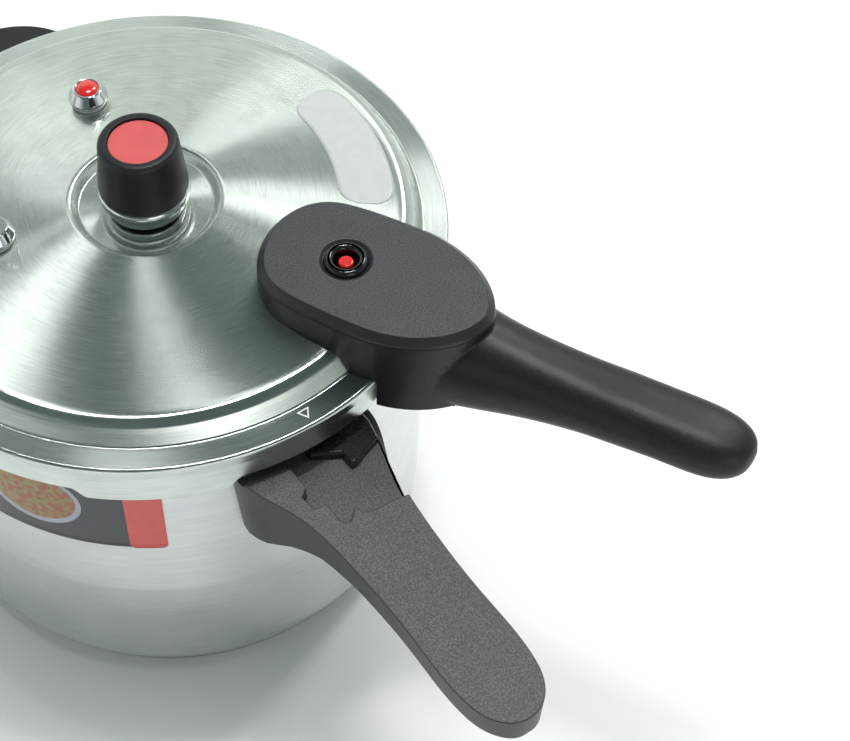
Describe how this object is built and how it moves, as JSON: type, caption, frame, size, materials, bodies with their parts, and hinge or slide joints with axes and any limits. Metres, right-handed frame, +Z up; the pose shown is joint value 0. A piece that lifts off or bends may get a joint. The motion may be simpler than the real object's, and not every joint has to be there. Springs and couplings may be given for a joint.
{
  "type": "stovetop pressure cooker",
  "caption": "Round steel stovetop pressure cooker with a bayonet lid, long pot and lid handles, helper handle, weighted regulator and pressure indicator.",
  "frame": {"origin": "centre of the base's underside, where the pot's axis meets the hob", "axes": "+Z up along the pot's axis, -Y towards the end of the long pot handle, +X to its right as the cook holds it"},
  "size_m": [0.2479, 0.4125, 0.2212],
  "materials": {
    "brushed_body": "satin, brushed round the axis",
    "lid_steel": "lathe-brushed round the axis, bright shoulder",
    "polished_steel": "polished",
    "base_aluminium": "plain",
    "black_satin": "smooth satin heat-proof plastic",
    "black_speckled": "fine grained",
    "black_gloss": "glossy",
    "red_plastic": "satin to glossy",
    "silicone": "soft matt silicone",
    "white_label": "printed film, left plain",
    "grey_label": "printed film with plain shapes only",
    "screw_steel": "plated"
  },
  "bodies": {
    "pot": {"pot_shell": "brushed_body", "base_core": "base_aluminium", "base_cap": "brushed_body", "body_label": "grey_label", "pot_handle_bracket": "polished_steel", "pot_handle": "black_speckled", "catch_block": "black_gloss", "pot_handle_screw": "screw_steel", "helper_bracket": "polished_steel", "helper_handle": "black_satin", "helper_screw": "screw_steel"},
    "seal": {"gasket": "silicone"},
    "lid": {"lid_shell": "lid_steel", "lid_label": "white_label", "vent_pipe": "polished_steel", "vent_washer": "silicone", "vent_nut": "polished_steel", "vent_screen": "polished_steel", "valve_seals": "silicone", "valve_nuts": "polished_steel", "safety_housing": "polished_steel", "safety_plug": "red_plastic", "relief_housing": "polished_steel", "relief_spring": "polished_steel", "lid_bracket": "polished_steel", "lid_handle": "black_satin", "lid_handle_cover": "black_speckled", "indicator_bezel": "black_gloss", "lid_handle_screws": "screw_steel", "cover_screws": "screw_steel", "float_bush": "polished_steel", "float_nut": "polished_steel"},
    "regulator": {"regulator_body": "polished_steel", "regulator_needle": "polished_steel", "regulator_cap": "black_satin", "regulator_disc": "red_plastic", "regulator_screw": "screw_steel"},
    "plunger": {"relief_plunger": "polished_steel"},
    "indicator": {"indicator_pin": "polished_steel", "indicator_tip": "red_plastic", "float_seal": "silicone"},
    "slider": {"lock_slider": "polished_steel"}
  },
  "joints": [
    {"name": "lid_lift", "type": "slide", "parent": "pot", "child": "seal", "axis": [0, 0, 1], "range_m": [0, 0.12]},
    {"name": "lid_turn", "type": "hinge", "parent": "seal", "child": "lid", "pos_m": [0, 0, 0.173], "axis": [0, 0, 1], "range_deg": [-28, 0]},
    {"name": "regulator_lift", "type": "slide", "parent": "lid", "child": "regulator", "axis": [0, 0, 1], "range_m": [0, 0.03]},
    {"name": "relief_lift", "type": "slide", "parent": "lid", "child": "plunger", "axis": [0, 0, 1], "range_m": [0, 0.0015], "stiffness_N_per_m": 1500, "springref_m": -0.002, "deforming": ["relief_spring"]},
    {"name": "indicator_rise", "type": "slide", "parent": "lid", "child": "indicator", "axis": [0, 0, 1], "range_m": [0, 0.004]},
    {"name": "lock_slide", "type": "slide", "parent": "lid", "child": "slider", "axis": [-0.4695, 0.8829, 0], "range_m": [0, 0.004]}
  ],
  "couplings": [
    {"joint": "lock_slide", "follows": "indicator_rise", "ratio": 1}
  ]
}
